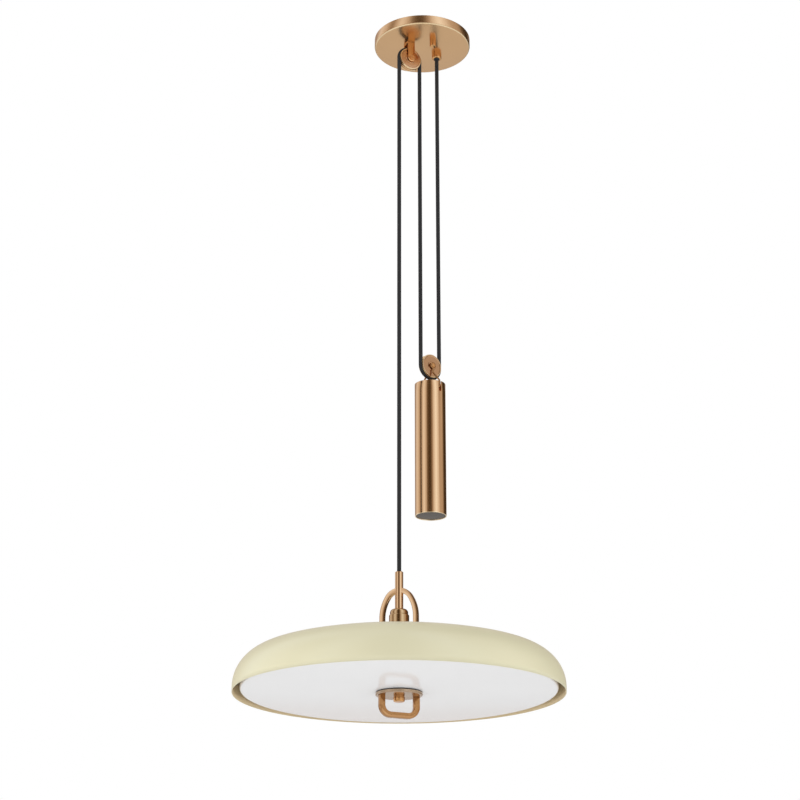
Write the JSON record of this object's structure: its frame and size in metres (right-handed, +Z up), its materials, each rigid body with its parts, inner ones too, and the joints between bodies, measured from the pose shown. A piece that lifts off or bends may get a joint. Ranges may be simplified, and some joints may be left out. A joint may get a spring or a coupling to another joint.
{
  "type": "rise and fall pendant lamp",
  "caption": "Ceiling pendant with a wide shallow shade on one cord over two pulleys, balanced by a tubular counterweight, with a pull handle below.",
  "frame": {"origin": "centre of the canopy's face on the ceiling, midway between the slots of the ceiling strap", "axes": "+Z up; +X from the upper pulley towards the cord anchor, whose own line is turned by 5.6 degrees from it; the two cap nuts and the strap's slots lie along Y"},
  "size_m": [0.505, 0.505, 1.1845],
  "materials": {
    "satin_brass": "satin",
    "bronze": "satin",
    "steel": "satin",
    "plate_aluminium": "satin",
    "cream_paint": "satin",
    "opal": "gloss",
    "black_cord": "matte",
    "black_rubber": "matte",
    "black_plastic": "matte",
    "white_plastic": "matte",
    "light_yellow": "matte",
    "dark_steel": "satin"
  },
  "bodies": {
    "canopy": {"canopy": "satin_brass", "mounting_strap": "steel", "canopy_studs": "steel", "cap_nuts": "satin_brass", "pulley_yoke": "satin_brass", "yoke_nut": "steel", "upper_axle": "satin_brass", "upper_axle_nut": "satin_brass", "cord_anchor": "satin_brass", "anchor_nut": "steel", "anchor_bush": "black_plastic", "terminal_block": "white_plastic", "terminal_screws": "steel", "anchor_leads": "black_cord", "cord_anchor_end": "black_cord", "cord_anchor_strand": "black_cord", "cord_middle_strand": "black_cord", "cord_upper_wrap": "black_cord", "cord_lamp_strand": "black_cord"},
    "upper_pulley": {"upper_sheave": "satin_brass", "upper_bush": "bronze"},
    "counterweight": {"weight_tube": "satin_brass", "weight_core": "satin_brass", "weight_base": "dark_steel", "weight_bail": "satin_brass", "lower_axle": "satin_brass", "axle_caps": "satin_brass", "cord_lower_wrap": "black_cord"},
    "lower_pulley": {"lower_sheave": "satin_brass", "lower_bush": "bronze"},
    "lamp": {"cord_lamp_end": "black_cord", "stem": "satin_brass", "cord_grip": "black_plastic", "grip_screw": "steel", "cap": "satin_brass", "cup": "satin_brass", "arch": "satin_brass", "arch_screws": "steel", "shade": "cream_paint", "shade_washer": "steel", "hub_nipple": "steel", "hub_nut": "steel", "inner_bracket": "steel", "bracket_screws": "steel", "lamp_plate": "plate_aluminium", "light_board": "white_plastic", "light_sources": "light_yellow", "driver": "white_plastic", "driver_leads": "black_cord", "centre_post": "steel", "post_nuts": "steel", "diffuser_seat": "steel", "diffuser": "opal", "soft_washer": "black_rubber", "cover": "satin_brass", "handle": "satin_brass", "handle_screws": "steel", "finial_neck": "satin_brass", "finial": "satin_brass"}
  },
  "joints": [
    {"name": "rise_fall", "type": "slide", "parent": "canopy", "child": "lamp", "axis": [0, 0, 1], "range_m": [-0.9, 0.12], "deforming": ["cord_lamp_strand"]},
    {"name": "weight_travel", "type": "slide", "parent": "canopy", "child": "counterweight", "axis": [0, 0, 1], "range_m": [-0.06, 0.45], "deforming": ["cord_middle_strand", "cord_anchor_strand"]},
    {"name": "upper_pulley_spin", "type": "hinge", "parent": "canopy", "child": "upper_pulley", "pos_m": [-0.02747, -0.00269, -0.0477], "axis": [-0.0419, -0.9991, 0], "continuous": true},
    {"name": "lower_pulley_spin", "type": "hinge", "parent": "counterweight", "child": "lower_pulley", "pos_m": [0.01164, -0.00024, -0.6061], "axis": [0.1666, -0.986, 0], "continuous": true}
  ],
  "couplings": [
    {"joint": "weight_travel", "follows": "rise_fall", "ratio": -0.5},
    {"joint": "upper_pulley_spin", "follows": "rise_fall", "rad_per_m": -50.761},
    {"joint": "lower_pulley_spin", "follows": "rise_fall", "rad_per_m": 25.381}
  ]
}
